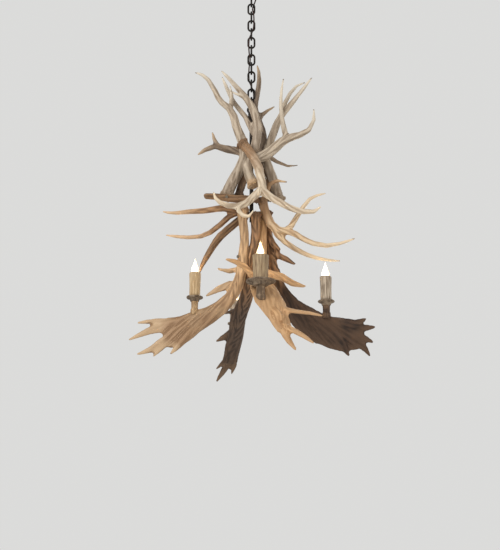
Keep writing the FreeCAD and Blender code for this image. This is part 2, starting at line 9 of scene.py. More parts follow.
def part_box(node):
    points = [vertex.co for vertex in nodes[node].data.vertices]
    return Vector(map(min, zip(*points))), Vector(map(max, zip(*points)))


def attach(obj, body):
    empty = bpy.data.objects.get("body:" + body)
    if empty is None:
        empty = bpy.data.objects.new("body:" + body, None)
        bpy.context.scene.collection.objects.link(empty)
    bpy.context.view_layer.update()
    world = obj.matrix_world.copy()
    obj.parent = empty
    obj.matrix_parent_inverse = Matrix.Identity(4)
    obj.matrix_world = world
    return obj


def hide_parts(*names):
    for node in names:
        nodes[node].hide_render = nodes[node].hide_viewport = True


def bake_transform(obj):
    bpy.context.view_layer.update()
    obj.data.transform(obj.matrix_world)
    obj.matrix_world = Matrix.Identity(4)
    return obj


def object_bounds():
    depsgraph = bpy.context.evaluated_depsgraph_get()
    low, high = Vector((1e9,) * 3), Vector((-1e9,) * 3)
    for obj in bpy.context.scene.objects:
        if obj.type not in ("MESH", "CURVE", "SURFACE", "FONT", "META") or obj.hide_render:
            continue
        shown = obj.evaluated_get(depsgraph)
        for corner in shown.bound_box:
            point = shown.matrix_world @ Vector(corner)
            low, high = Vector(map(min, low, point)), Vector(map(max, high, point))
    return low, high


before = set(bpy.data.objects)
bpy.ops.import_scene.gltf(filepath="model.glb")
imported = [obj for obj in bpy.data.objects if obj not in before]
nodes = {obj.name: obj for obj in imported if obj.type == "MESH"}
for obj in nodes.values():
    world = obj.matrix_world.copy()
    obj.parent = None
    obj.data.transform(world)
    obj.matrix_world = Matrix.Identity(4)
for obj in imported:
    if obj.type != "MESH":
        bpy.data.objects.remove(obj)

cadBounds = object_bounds()
eyeTop = -0.48597        # height of the eye that the antlers hang from
weldReach = 0.00001      # points closer than this become one

# the photo is taken from below the chandelier, looking up at it
camera = {"place": (-0.0048, -2.8838, -1.9029), "lookUp": 16.0, "lens": 61.36, "sensor": 36, "farEnd": 60}

cameraData = bpy.data.cameras.new("camera")
cameraData.sensor_width = camera["sensor"]
cameraData.lens = camera["lens"]
cameraData.clip_end = camera["farEnd"]
cameraObject = bpy.data.objects.new("camera", cameraData)
cameraObject.location = camera["place"]
cameraObject.rotation_euler = (math.radians(90 + camera["lookUp"]), 0, 0)
bpy.context.scene.collection.objects.link(cameraObject)
bpy.context.scene.camera = cameraObject


# --- materials ---

def toLinear(colour):
    return tuple(c / 12.92 if c <= 0.04045 else ((c + 0.055) / 1.055) ** 2.4 for c in colour) + (1.0,)


def shade(colour, share):
    # the same colour, darker
    return tuple(share * c for c in colour)


class Surface:
    # a material's node tree, with short calls for what this scene wires up again and again
    def __init__(self, name, roughness=0.6, metallic=0.0):
        self.material = bpy.data.materials.new(name)
        self.material.use_nodes = True
        self.tree = self.material.node_tree
        self.shader = self.tree.nodes["Principled BSDF"]
        self.shader.inputs["Roughness"].default_value = roughness
        self.shader.inputs["Metallic"].default_value = metallic
        self.place = self.add("ShaderNodeTexCoord").outputs["Object"]

    def add(self, kind, **values):
        node = self.tree.nodes.new(kind)
        for key, value in values.items():
            setattr(node, key, value)
        return node

    def join(self, source, target):
        # a plain colour is a tuple of three
        if isinstance(source, tuple):
            target.default_value = toLinear(source)
        elif isinstance(source, (int, float)):
            target.default_value = source
        else:
            self.tree.links.new(source, target)

    def stretched(self, scale, turn=(0, 0, 0)):
        mapping = self.add("ShaderNodeMapping")
        mapping.inputs["Scale"].default_value = scale
        mapping.inputs["Rotation"].default_value = turn
        self.join(self.place, mapping.inputs["Vector"])
        return mapping.outputs["Vector"]

    def noise(self, scale, detail=4.0, vector=None, roughness=0.55):
        node = self.add("ShaderNodeTexNoise")
        node.inputs["Scale"].default_value = scale
        node.inputs["Detail"].default_value = detail
        node.inputs["Roughness"].default_value = roughness
        self.join(vector or self.place, node.inputs["Vector"])
        return node.outputs["Fac"]

    def pits(self, scale):
        node = self.add("ShaderNodeTexVoronoi")
        node.inputs["Scale"].default_value = scale
        self.join(self.place, node.inputs["Vector"])
        return node.outputs["Distance"]

    def attribute(self, name):
        return self.add("ShaderNodeAttribute", attribute_name=name).outputs["Fac"]

    def span(self, value, low, high, toLow=0.0, toHigh=1.0):
        node = self.add("ShaderNodeMapRange", interpolation_type="SMOOTHSTEP")
        self.join(value, node.inputs["Value"])
        for key, number in (("From Min", low), ("From Max", high), ("To Min", toLow), ("To Max", toHigh)):
            node.inputs[key].default_value = number
        return node.outputs["Result"]

    def sums(self, operation, a, b):
        node = self.add("ShaderNodeMath", operation=operation)
        self.join(a, node.inputs[0])
        self.join(b, node.inputs[1])
        return node.outputs["Value"]

    def blend(self, share, a, b):
        # sockets 6, 7 and 2 are the mix node's two colours and its result
        node = self.add("ShaderNodeMix", data_type="RGBA")
        self.join(share, node.inputs[0])
        self.join(a, node.inputs[6])
        self.join(b, node.inputs[7])
        return node.outputs[2]

    def colour(self, value):
        self.join(value, self.shader.inputs["Base Color"])

    def rough(self, value):
        self.join(value, self.shader.inputs["Roughness"])

    def bump(self, height, depth, strength=0.6):
        node = self.add("ShaderNodeBump")
        node.inputs["Distance"].default_value = depth
        node.inputs["Strength"].default_value = strength
        self.join(height, node.inputs["Height"])
        self.join(node.outputs["Normal"], self.shader.inputs["Normal"])


# tones in plain light, but for the painted shade in two palm tones: the beam near its burr, then the rest,
# the grooves, the tips and the burr;
# where a tone changes along the antler, "turn" holds the distances from the burr
antlerTones = {
    "greyStag": {"start": (0.70, 0.64, 0.57), "main": (0.76, 0.70, 0.62), "groove": (0.49, 0.42, 0.35),
                 "tip": (0.88, 0.84, 0.77), "burr": (0.60, 0.52, 0.43), "turn": (0.02, 0.20)},
    "slicedStag": {"start": (0.73, 0.67, 0.59), "main": (0.77, 0.71, 0.63), "groove": (0.49, 0.42, 0.35),
                   "tip": (0.88, 0.84, 0.77), "burr": (0.78, 0.65, 0.50), "turn": (0.02, 0.10)},
    "duskStag": {"start": (0.56, 0.45, 0.35), "main": (0.58, 0.51, 0.44), "groove": (0.34, 0.28, 0.23),
                 "tip": (0.74, 0.64, 0.52), "burr": (0.38, 0.30, 0.23), "turn": (0.05, 0.20)},
    "creamStag": {"start": (0.62, 0.48, 0.35), "main": (0.86, 0.80, 0.71), "groove": (0.58, 0.48, 0.38),
                  "tip": (0.91, 0.84, 0.73), "burr": (0.42, 0.31, 0.22), "turn": (0.04, 0.15)},
    "amberStag": {"start": (0.56, 0.43, 0.31), "main": (0.75, 0.59, 0.43), "groove": (0.43, 0.30, 0.20),
                  "tip": (0.88, 0.75, 0.60), "burr": (0.50, 0.38, 0.27), "turn": (0.03, 0.14)},
    "barkStag": {"start": (0.60, 0.47, 0.34), "main": (0.57, 0.44, 0.31), "groove": (0.30, 0.21, 0.14),
                 "tip": (0.62, 0.48, 0.35), "burr": (0.42, 0.31, 0.22), "turn": (0.02, 0.10)},
    "goldStag": {"start": (0.66, 0.52, 0.38), "main": (0.87, 0.77, 0.63), "groove": (0.61, 0.47, 0.34),
                 "tip": (0.92, 0.84, 0.72), "burr": (0.46, 0.35, 0.25), "turn": (0.03, 0.13)},
    "tanPalm": {"start": (0.85, 0.70, 0.53), "main": (0.64, 0.51, 0.38), "groove": (0.50, 0.38, 0.27),
                "tip": (0.80, 0.69, 0.55), "burr": (0.48, 0.37, 0.27), "turn": (0.20, 0.42)},
    "honeyPalm": {"start": (0.82, 0.65, 0.46), "main": (0.83, 0.67, 0.49), "groove": (0.65, 0.49, 0.34),
                  "tip": (0.74, 0.60, 0.45), "burr": (0.46, 0.35, 0.25), "turn": (0.20, 0.40)},
    # painted shade: the main, groove and tip tones darken this palm's face as if it lay in shadow, over its
    # own dark brown
    "darkPaintedShadePalm": {"start": (0.62, 0.46, 0.31), "main": (0.27, 0.18, 0.115), "groove": (0.10, 0.065, 0.045),
                 "tip": (0.36, 0.26, 0.18), "burr": (0.42, 0.31, 0.22), "turn": (0.21, 0.30)},
    # painted shade: the main, groove and tip tones darken this palm's underside as if unlit, over its own
    # brown
    "umberPaintedShadePalm": {"start": (0.70, 0.53, 0.37), "main": (0.33, 0.24, 0.165), "groove": (0.15, 0.10, 0.07),
                  "tip": (0.44, 0.34, 0.25), "burr": (0.42, 0.31, 0.22), "turn": (0.16, 0.36)},
}

# how fine each part of the antlers' pattern is: a larger number is finer
antlerPattern = {"mottle": 30, "stain": 9, "bleach": 13, "specks": 230, "pittedPatches": 46, "skin": 520}


def antlerMaterial(name, tone):
    s = Surface(name)
    grain, tip, burr, far = (s.attribute(layer) for layer in ("grain", "tip", "burr", "far"))
    mottle = s.noise(antlerPattern["mottle"], 6)
    # the tone turns along a ragged front: the mottle shifts it by up to this much
    ragged = 0.08
    drift = s.sums("ADD", far, s.sums("MULTIPLY", mottle, ragged))
    near, turned = (distance + ragged / 2 for distance in tone["turn"])
    plain = s.blend(s.span(drift, near, turned), tone["start"], tone["main"])
    fibre = s.span(s.sums("ADD", grain, s.sums("MULTIPLY", mottle, 0.5)), 0.40, 1.05, 0.75, 0.0)
    body = s.blend(fibre, plain, tone["groove"])
    stain = s.span(s.noise(antlerPattern["stain"], 4), 0.5, 0.74, 0.0, 0.30)
    body = s.blend(stain, body, shade(tone["main"], 0.66))
    turnedPlace = s.stretched((1, 1, 1), (0.7, 0.2, 0.4))
    bleached = s.span(s.noise(antlerPattern["bleach"], 4, turnedPlace), 0.55, 0.75, 0.0, 0.35)
    body = s.blend(bleached, body, tone["tip"])
    speck = s.span(s.pits(antlerPattern["specks"]), 0.10, 0.24)
    pitted = s.span(s.noise(antlerPattern["pittedPatches"], 2), 0.52, 0.62)
    pits = s.sums("MULTIPLY", s.sums("SUBTRACT", 1.0, speck), pitted)
    body = s.blend(pits, body, shade(tone["groove"], 0.5))
    body = s.blend(s.sums("MULTIPLY", burr, s.span(mottle, 0.35, 0.6, 0.95, 0.6)), body, tone["burr"])
    body = s.blend(s.sums("MULTIPLY", tip, 0.8), body, tone["tip"])
    s.colour(body)
    s.rough(s.sums("SUBTRACT", s.span(grain, 0.2, 0.8, 0.74, 0.54), s.sums("MULTIPLY", tip, 0.06)))
    fine = s.sums("ADD", s.noise(antlerPattern["skin"], 4), s.sums("MULTIPLY", grain, 1.6))
    relief = s.sums("ADD", fine, s.sums("MULTIPLY", speck, 0.6))
    s.bump(s.sums("MULTIPLY", relief, s.span(tip, 0.0, 1.0, 1.0, 0.25)), 0.0010, 0.65)
    return s.material


def ironMaterial(name):
    s = Surface(name, roughness=0.55, metallic=0.6)
    worn = s.span(s.noise(60, 6), 0.5, 0.72)
    s.colour(s.blend(worn, (0.12, 0.105, 0.095), (0.26, 0.22, 0.19)))
    s.rough(s.span(s.noise(150, 4), 0.3, 0.7, 0.42, 0.7))
    s.bump(s.noise(300, 5), 0.0006, 0.45)
    return s.material


def steelMaterial(name):
    s = Surface(name, roughness=0.4, metallic=1.0)
    s.colour(s.blend(s.noise(180, 3), (0.42, 0.40, 0.37), (0.60, 0.57, 0.52)))
    s.bump(s.noise(500, 2), 0.0003, 0.3)
    return s.material


def brassMaterial(name):
    s = Surface(name, roughness=0.35, metallic=1.0)
    s.colour(s.blend(s.noise(90, 4), (0.62, 0.47, 0.24), (0.80, 0.66, 0.38)))
    s.bump(s.noise(400, 2), 0.0002, 0.3)
    return s.material


def cordMaterial(name):
    s = Surface(name, roughness=0.85)
    weave = [s.add("ShaderNodeTexWave", bands_direction="DIAGONAL") for _ in range(2)]
    for side, wave in zip((1, -1), weave):
        wave.inputs["Scale"].default_value = 260
        wave.inputs["Distortion"].default_value = 0.4
        s.join(s.stretched((side, side, 1)), wave.inputs["Vector"])
    braid = s.sums("MAXIMUM", weave[0].outputs["Fac"], weave[1].outputs["Fac"])
    s.colour(s.blend(braid, (0.09, 0.05, 0.045), (0.22, 0.12, 0.10)))
    s.bump(braid, 0.0005, 0.6)
    return s.material


def holderMaterial(name):
    s = Surface(name, roughness=0.5)
    s.colour(s.blend(s.noise(120, 3), (0.10, 0.09, 0.08), (0.19, 0.17, 0.15)))
    s.bump(s.noise(350, 2), 0.0002, 0.3)
    return s.material


def sleeveMaterial(name, main, groove):
    s = Surface(name)
    upright = s.noise(1.0, 6, s.stretched((260, 260, 17)), 0.65)
    cracks = s.noise(1.0, 3, s.stretched((420, 420, 22)), 0.6)
    fibre = s.span(upright, 0.36, 0.62)
    body = s.blend(fibre, groove, main)
    body = s.blend(s.span(cracks, 0.62, 0.72, 0.0, 0.75), body, shade(groove, 0.45))
    body = s.blend(s.span(s.noise(30, 4), 0.5, 0.75, 0.0, 0.5), body, shade(main, 0.8))
    s.colour(body)
    s.rough(s.span(upright, 0.3, 0.7, 0.72, 0.5))
    s.bump(s.sums("SUBTRACT", upright, cracks), 0.0016, 0.8)
    return s.material


def baseMaterial(name, dark, light):
    s = Surface(name)
    mottle = s.noise(55, 6)
    upright = s.noise(1.0, 5, s.stretched((150, 150, 14)))
    body = s.blend(s.span(s.sums("ADD", mottle, upright), 0.8, 1.2), dark, light)
    body = s.blend(s.span(s.pits(150), 0.06, 0.22, 0.5, 0.0), body, shade(dark, 0.55))
    s.colour(body)
    s.rough(s.span(mottle, 0.3, 0.7, 0.8, 0.58))
    s.bump(s.sums("ADD", s.noise(140, 5), s.pits(120)), 0.0022, 0.7)
    return s.material


def glassMaterial(name):
    s = Surface(name, roughness=0.04)
    s.shader.inputs["Transmission Weight"].default_value = 1.0
    s.shader.inputs["IOR"].default_value = 1.12
    s.colour(s.blend(s.span(s.noise(60, 2), 0.4, 0.6), (1.0, 0.97, 0.90), (0.98, 0.94, 0.86)))
    s.join((1.0, 0.86, 0.62), s.shader.inputs["Emission Color"])
    s.shader.inputs["Emission Strength"].default_value = 0.35
    return s.material


def glowMaterial(name):
    s = Surface(name, roughness=0.5)
    s.colour((1.0, 0.93, 0.8))
    warm = s.blend(s.span(s.noise(70, 2), 0.35, 0.65), (1.0, 0.90, 0.70), (1.0, 0.95, 0.82))
    s.join(warm, s.shader.inputs["Emission Color"])
    s.shader.inputs["Emission Strength"].default_value = 14.0
    return s.material


antlerSkins = {name: antlerMaterial(name, tone) for name, tone in antlerTones.items()}
blackIron = ironMaterial("blackIron")
sleeveSkins = {
    "cream": sleeveMaterial("creamSleeve", (0.84, 0.74, 0.58), (0.66, 0.54, 0.39)),
    "grey": sleeveMaterial("greySleeve", (0.76, 0.70, 0.62), (0.45, 0.38, 0.31)),
    "tan": sleeveMaterial("tanSleeve", (0.70, 0.61, 0.48), (0.50, 0.41, 0.30)),
}
saucerSkin = baseMaterial("burrSlice", (0.34, 0.28, 0.22), (0.56, 0.49, 0.41))
stemSkins = {
    "cream": baseMaterial("tanStem", (0.56, 0.44, 0.31), (0.78, 0.66, 0.50)),
    "grey": baseMaterial("brownStem", (0.24, 0.17, 0.12), (0.42, 0.32, 0.23)),
    "tan": baseMaterial("greyStem", (0.36, 0.29, 0.22), (0.56, 0.47, 0.37)),
}
clearGlass = glassMaterial("clearGlass")
glowing = glowMaterial("glowing")
print("materials made")


# --- small helpers ---

def loosePiece(name, mesh, material=None):
    piece = bpy.data.objects.new(name, mesh)
    bpy.context.scene.collection.objects.link(piece)
    if material:
        paint(mesh, material)
    return piece


def newPiece(name, mesh, material, body, replaced=()):
    piece = loosePiece(name, mesh, material)
    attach(piece, body)
    if replaced:
        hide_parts(*replaced)
    return piece


def paint(mesh, material):
    mesh.materials.clear()
    mesh.materials.append(material)


def baked(piece):
    # the modifiers' result as a plain mesh
    graph = bpy.context.evaluated_depsgraph_get()
    mesh = bpy.data.meshes.new_from_object(piece.evaluated_get(graph), preserve_all_data_layers=True,
                                           depsgraph=graph)
    bpy.data.objects.remove(piece)
    return mesh


def smoothShaded(mesh):
    mesh.polygons.foreach_set("use_smooth", [True] * len(mesh.polygons))
    mesh.update()


def spunMesh(name, profile, middle, around=64, wobble=None):
    # an outline of (radius, height) turned about an upright axis; both its ends lie on the axis or meet
    closed = profile[0] == profile[-1]
    rings = profile[:-1] if closed else profile
    points, faces, starts = [], [], []
    for radius, height in rings:
        starts.append(len(points))
        if radius == 0:
            points.append((middle[0], middle[1], middle[2] + height))
            continue
        for k in range(around):
            angle = 2 * math.pi * k / around
            out, up = wobble(angle, radius, height) if wobble else (radius, height)
            points.append((middle[0] + out * math.cos(angle), middle[1] + out * math.sin(angle),
                           middle[2] + up))
    order = list(range(len(rings))) + ([0] if closed else [])
    for low, high in zip(order, order[1:]):
        a, b = starts[low], starts[high]
        for k in range(around):
            n = (k + 1) % around
            if rings[low][0] == 0:
                faces.append((a, b + n, b + k))
            elif rings[high][0] == 0:
                faces.append((a + k, a + n, b))
            else:
                faces.append((a + k, a + n, b + n, b + k))
    mesh = bpy.data.meshes.new(name)
    mesh.from_pydata(points, [], faces)
    smoothShaded(mesh)
    return mesh


# --- geometry node trees ---

class Tree:
    def __init__(self, name, inputs):
        self.tree = bpy.data.node_groups.new(name, "GeometryNodeTree")
        face = self.tree.interface
        face.new_socket(name="Geometry", in_out="INPUT", socket_type="NodeSocketGeometry")
        self.identifiers = {}
        for label, (kind, value) in inputs.items():
            socket = face.new_socket(name=label, in_out="INPUT", socket_type=kind)
            if value is not None:
                socket.default_value = value
            self.identifiers[label] = socket.identifier
        face.new_socket(name="Geometry", in_out="OUTPUT", socket_type="NodeSocketGeometry")
        self.start = self.tree.nodes.new("NodeGroupInput")
        self.end = self.tree.nodes.new("NodeGroupOutput")

    def add(self, kind, links=None, **values):
        node = self.tree.nodes.new(kind)
        for key, value in values.items():
            setattr(node, key, value)
        for key, source in (links or {}).items():
            if hasattr(source, "is_linked"):
                self.tree.links.new(source, node.inputs[key])
            else:
                node.inputs[key].default_value = source
        return node

    def finish(self, geometry):
        real = self.add("GeometryNodeRealizeInstances", {"Geometry": geometry})
        skin = self.add("GeometryNodeSetMaterial", {"Geometry": real.outputs[0],
                                                     "Material": self.start.outputs["Material"]})
        self.tree.links.new(skin.outputs[0], self.end.inputs[0])

    def put(self, piece, values):
        modifier = piece.modifiers.new(self.tree.name, "NODES")
        modifier.node_group = self.tree
        for label, value in values.items():
            modifier[self.identifiers[label]] = value


chain = {"links": 13, "length": 0.046, "width": 0.028, "wire": 0.0065, "around": 14, "cornerSteps": 14,
         "seam": 0.0026, "seamRise": 0.09}


def chainTree():
    # one oval link, upright, with the raised seam of its weld on one side
    t = Tree("chainLink", {"Length": ("NodeSocketFloat", chain["length"]),
                           "Width": ("NodeSocketFloat", chain["width"]),
                           "Wire": ("NodeSocketFloat", chain["wire"]), "Turn": ("NodeSocketFloat", 0.0),
                           "Middle": ("NodeSocketVector", None), "Material": ("NodeSocketMaterial", None)})
    given = t.start.outputs
    across = t.add("ShaderNodeMath", {0: given["Width"], 1: given["Wire"]}, operation="SUBTRACT").outputs[0]
    along = t.add("ShaderNodeMath", {0: given["Length"], 1: given["Wire"]}, operation="SUBTRACT").outputs[0]
    # a hair under half the width, since a fillet of the full half closes the straight run
    bend = t.add("ShaderNodeMath", {0: across, 1: 0.4999}, operation="MULTIPLY").outputs[0]
    half = t.add("ShaderNodeMath", {0: given["Wire"], 1: 0.5}, operation="MULTIPLY").outputs[0]
    frameCurve = t.add("GeometryNodeCurvePrimitiveQuadrilateral", {"Width": across, "Height": along})
    oval = t.add("GeometryNodeFilletCurve", {"Curve": frameCurve.outputs[0], "Radius": bend,
                                             "Count": chain["cornerSteps"]}, mode="POLY")
    finer = t.add("GeometryNodeSubdivideCurve", {"Curve": oval.outputs[0], "Cuts": 2})
    place = t.add("GeometryNodeInputPosition")
    split = t.add("ShaderNodeSeparateXYZ", {0: place.outputs[0]})
    high = t.add("ShaderNodeMath", {0: split.outputs["Y"]}, operation="ABSOLUTE")
    near = t.add("ShaderNodeMapRange", {"Value": high.outputs[0], "From Min": 0.0, "From Max": chain["seam"],
                                         "To Min": chain["seamRise"], "To Max": 0.0})
    right = t.add("ShaderNodeMath", {0: split.outputs["X"], 1: 0.0}, operation="GREATER_THAN")
    seam = t.add("ShaderNodeMath", {0: near.outputs[0], 1: right.outputs[0]}, operation="MULTIPLY")
    swell = t.add("ShaderNodeMath", {0: seam.outputs[0], 1: 1.0}, operation="ADD")
    sized = t.add("GeometryNodeSetCurveRadius", {"Curve": finer.outputs[0], "Radius": swell.outputs[0]})
    wire = t.add("GeometryNodeCurvePrimitiveCircle", {"Resolution": chain["around"], "Radius": half})
    radius = t.add("GeometryNodeInputRadius")
    solid = t.add("GeometryNodeCurveToMesh", {"Curve": sized.outputs[0], "Profile Curve": wire.outputs[0],
                                              "Scale": radius.outputs[0]})
    soft = t.add("GeometryNodeSetShadeSmooth", {"Geometry": solid.outputs[0]})
    turn = t.add("ShaderNodeCombineXYZ", {"X": math.pi / 2, "Z": given["Turn"]})
    up = t.add("GeometryNodeTransform", {"Geometry": soft.outputs[0], "Translation": given["Middle"],
                                          "Rotation": turn.outputs[0]})
    t.finish(up.outputs[0])
    return t


def pearlTree():
    # small bony pearls where the antler's "pearl" attribute is high, thick round the burr
    t = Tree("burrPearls", {"Size": ("NodeSocketFloat", 0.004), "Spacing": ("NodeSocketFloat", 0.005),
                            "Density": ("NodeSocketFloat", 30000.0), "Seed": ("NodeSocketInt", 3),
                            "Material": ("NodeSocketMaterial", None)})
    given = t.start.outputs
    mask = t.add("GeometryNodeInputNamedAttribute", {"Name": "pearl"}, data_type="FLOAT")
    spread = t.add("GeometryNodeDistributePointsOnFaces",
                   {"Mesh": given["Geometry"], "Distance Min": given["Spacing"],
                    "Density Max": given["Density"], "Density Factor": mask.outputs[0],
                    "Seed": given["Seed"]}, distribute_method="POISSON")
    pearl = t.add("GeometryNodeMeshUVSphere", {"Segments": 8, "Rings": 5, "Radius": given["Size"]})
    flat = t.add("GeometryNodeTransform", {"Geometry": pearl.outputs[0], "Scale": (1.0, 1.25, 0.55)})
    some = t.add("FunctionNodeRandomValue", {2: 0.35, 3: 0.75, "Seed": given["Seed"]})
    grown = t.add("GeometryNodeInstanceOnPoints",
                  {"Points": spread.outputs["Points"], "Instance": flat.outputs[0],
                   "Rotation": spread.outputs["Rotation"], "Scale": some.outputs[1]})
    soft = t.add("GeometryNodeSetShadeSmooth", {"Geometry": grown.outputs[0]})
    real = t.add("GeometryNodeRealizeInstances", {"Geometry": soft.outputs[0]})
    both = t.add("GeometryNodeJoinGeometry")
    t.tree.links.new(real.outputs[0], both.inputs[0])
    t.tree.links.new(given["Geometry"], both.inputs[0])
    t.finish(both.outputs[0])
    return t


linkTree, pearls = chainTree(), pearlTree()


# --- the chain and its fittings ---

for number in range(1, chain["links"] + 1):
    node = "chain_link_%02d" % number
    low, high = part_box(node)
    middle = tuple((a + b) / 2 for a, b in zip(low, high))
    blank = loosePiece(node + "_blank", bpy.data.meshes.new(node + "_blank"))
    linkTree.put(blank, {"Length": chain["length"], "Width": chain["width"], "Wire": chain["wire"],
                         "Turn": math.pi / 2 if number % 2 else 0.0, "Middle": middle,
                         "Material": blackIron})
    newPiece("link_%02d" % number, baked(blank), blackIron, node, [node])

for node in ("canopy", "canopy_nut", "ceiling_loop", "hanging_eye", "rod_lock_nut", "center_rod"):
    paint(nodes[node].data, blackIron)
paint(nodes["antler_screws"].data, steelMaterial("screwSteel"))

# how far the points paired with a span's bodies lie past the meeting of two links, how far outside the cord
# its end cuts lie, and the spans that name their lower body first
cord = {"bend": 0.013, "clear": 0.001, "lowerFirst": (4, 10, 11, 12, 13)}


def slab(mesh, low, high):
    # the part of a closed mesh between two heights, closed again where it is cut
    cut = bmesh.new()
    cut.from_mesh(mesh)
    bmesh.ops.remove_doubles(cut, verts=cut.verts, dist=weldReach)
    for height, up in ((high, 1), (low, -1)):
        parts = cut.verts[:] + cut.edges[:] + cut.faces[:]
        bmesh.ops.bisect_plane(cut, geom=parts, plane_co=(0, 0, height), plane_no=(0, 0, up),
                               clear_outer=True)
        bmesh.ops.holes_fill(cut, edges=[edge for edge in cut.edges if edge.is_boundary])
    bmesh.ops.recalc_face_normals(cut, faces=cut.faces)
    part = bpy.data.meshes.new("cordSpan")
    cut.to_mesh(part)
    cut.free()
    return part


# the cord is cut at the middle of each link, where it rides on that link alone; each span holds the place
# where two links meet, and the two bodies there are paired with points just above and below it
braidedCord = cordMaterial("braidedCord")
cordLow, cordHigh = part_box("supply_cord")
holders = ["ceiling"] + ["chain_link_%02d" % k for k in range(1, chain["links"] + 1)] + ["chandelier"]
linkBoxes = [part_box(node) for node in holders[1:-1]]
cuts = [(low[2] + high[2]) / 2 for low, high in linkBoxes]
cuts = [cordHigh[2] + cord["clear"]] + cuts + [cordLow[2] - cord["clear"]]
meetings = [high[2] - chain["wire"] for low, high in linkBoxes] + [linkBoxes[-1][0][2] + chain["wire"]]
for number, meeting in enumerate(meetings):
    part = slab(nodes["supply_cord"].data, cuts[number + 1], cuts[number])
    span = loosePiece("cord_span_%02d" % (number + 1), part, braidedCord)
    ends = [(holders[number], (0, 0, meeting + cord["bend"])),
            (holders[number + 1], (0, 0, meeting - cord["bend"]))]
    if number + 1 in cord["lowerFirst"]:
        ends.reverse()
    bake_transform(span)
    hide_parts("supply_cord")
print("chain made")


# --- antlers ---

antlerLook = {"coarseVoxel": 0.0025, "voxel": 0.0021, "smoothing": 22, "web": 0.006, "swell": 0.04,
              "grooveDepth": 0.0006, "streakLengths": (90, 45), "fullGroove": 0.02, "flowPower": 18,
              "burrPatch": 0.018, "burrReach": 0.016, "burrLumps": 0.0018, "pearlReach": 0.11,
              "tipThickness": (0.006, 0.015), "fullerTines": 0.0011, "fullerThickness": (0.012, 0.020),
              "thickest": 0.06, "firstSeed": 20}

# each antler's burr (right, away, below the eye's top), its tone, slot, groove strength and pearls
antlers = {
    "stag_antler_left": ((-0.080, -0.022, -0.329), "greyStag", "weathered_antler", 1.0, 0.25),
    "stag_antler_fork": ((-0.041, 0.003, -0.322), "duskStag", "weathered_antler", 1.0, 0.05),
    "stag_antler_center": ((0.010, -0.018, -0.181), "greyStag", "weathered_antler", 0.9, 0.06),
    "stag_antler_back": ((0.067, 0.034, -0.318), "duskStag", "weathered_antler", 1.1, 0.06),
    "stag_antler_hook": ((0.007, -0.056, -0.304), "slicedStag", "weathered_antler", 0.9, 0.06),
    "stag_antler_right": ((0.090, 0.004, -0.335), "greyStag", "weathered_antler", 1.1, 0.25),
    "stag_antler_front": ((-0.033, -0.066, -0.160), "creamStag", "warm_antler", 1.6, 0.70),
    "stag_antler_stub": ((0.020, -0.027, -0.338), "barkStag", "warm_antler", 1.8, 0.40),
    "stag_antler_wing": ((-0.018, 0.008, -0.367), "amberStag", "warm_antler", 1.0, 0.05),
    "stag_antler_spike": ((-0.021, 0.031, -0.376), "barkStag", "warm_antler", 1.1, 0.06),
    "stag_antler_sweep": ((0.033, -0.014, -0.334), "goldStag", "warm_antler", 0.7, 0.05),
    "fallow_antler_left": ((-0.028, -0.020, -0.370), "tanPalm", "palm_antler", 1.2, 0.04),
    # painted shade: this palm's tone is darkened as if its underside were unlit
    "fallow_antler_back": ((0.014, -0.014, -0.388), "umberPaintedShadePalm", "dark_palm_antler", 1.3, 0.04),
    "fallow_antler_front": ((0.031, 0.011, -0.378), "honeyPalm", "palm_antler", 1.0, 0.04),
    # painted shade: this palm's tone is darkened as if its face lay in shadow
    "fallow_antler_right": ((0.051, 0.029, -0.365), "darkPaintedShadePalm", "dark_palm_antler", 1.6, 0.04),
}


def remeshed(name, mesh, voxel):
    # the same form in small even quads
    copy = loosePiece(name + "_copy", mesh)
    weld = copy.modifiers.new("weld", "WELD")
    weld.merge_threshold = weldReach
    remesh = copy.modifiers.new("remesh", "REMESH")
    remesh.mode = "VOXEL"
    remesh.voxel_size = voxel
    return baked(copy)


